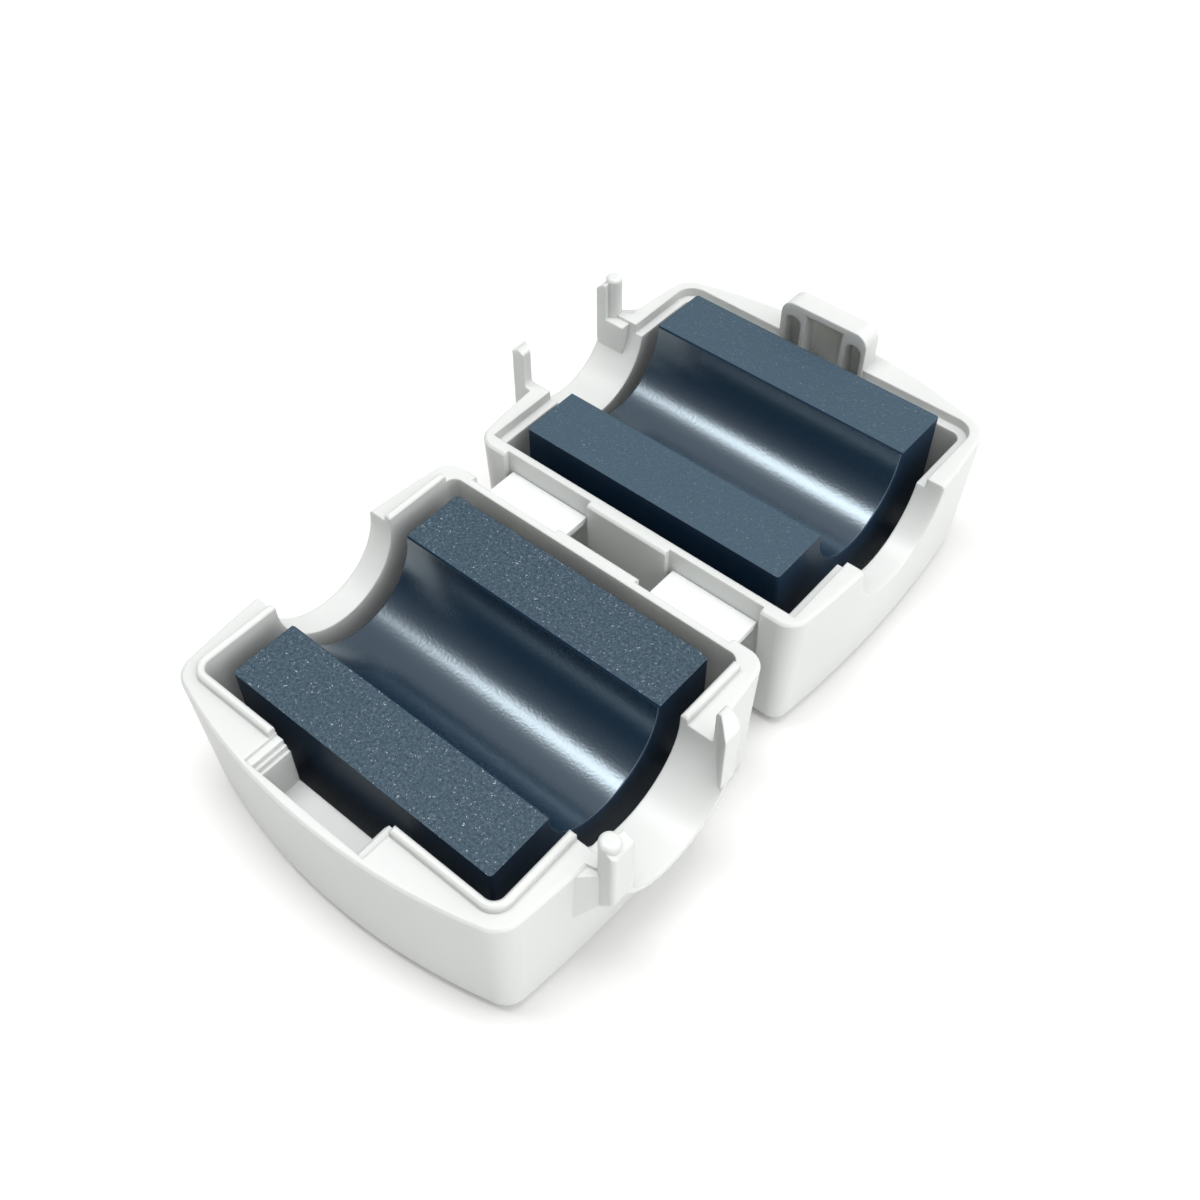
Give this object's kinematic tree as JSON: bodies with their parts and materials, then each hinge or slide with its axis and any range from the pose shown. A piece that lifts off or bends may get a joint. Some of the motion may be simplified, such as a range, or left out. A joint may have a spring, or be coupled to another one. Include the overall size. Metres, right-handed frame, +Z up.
{
  "type": "clip-on ferrite bead",
  "caption": "Open clip-on ferrite bead: hinged plastic case with a snap latch, holding a split ferrite core that closes round a cable to damp interference.",
  "frame": {"origin": "on the table, below the middle of the hinge", "axes": "+X along the cable, +Y from the base to the lid, +Z up out of the open trays"},
  "size_m": [0.0428, 0.073, 0.0193],
  "materials": {
    "case_plastic": "satin moulded, white",
    "ferrite": "sintered, dark slate grey, mating faces ground"
  },
  "bodies": {
    "hinge": {"hinge_strap_left": "case_plastic", "hinge_strap_right": "case_plastic"},
    "base_half": {"base_case": "case_plastic", "base_core": "ferrite"},
    "lid_half": {"lid_case": "case_plastic"},
    "lid_core": {"lid_core": "ferrite"}
  },
  "joints": [
    {"name": "base_fold", "type": "hinge", "parent": "hinge", "child": "base_half", "pos_m": [0, -0.0024, 0.01265], "axis": [-1, 0, 0], "range_deg": [0, 90]},
    {"name": "lid_fold", "type": "hinge", "parent": "hinge", "child": "lid_half", "pos_m": [0, 0.0024, 0.01265], "axis": [1, 0, 0], "range_deg": [0, 90]},
    {"name": "core_press", "type": "slide", "parent": "lid_half", "child": "lid_core", "axis": [0, 0, -1], "range_m": [0, 0.0014]}
  ],
  "couplings": [
    {"joint": "lid_fold", "follows": "base_fold", "ratio": 1},
    {"joint": "core_press", "follows": "base_fold", "m_per_rad": 0.000891}
  ]
}
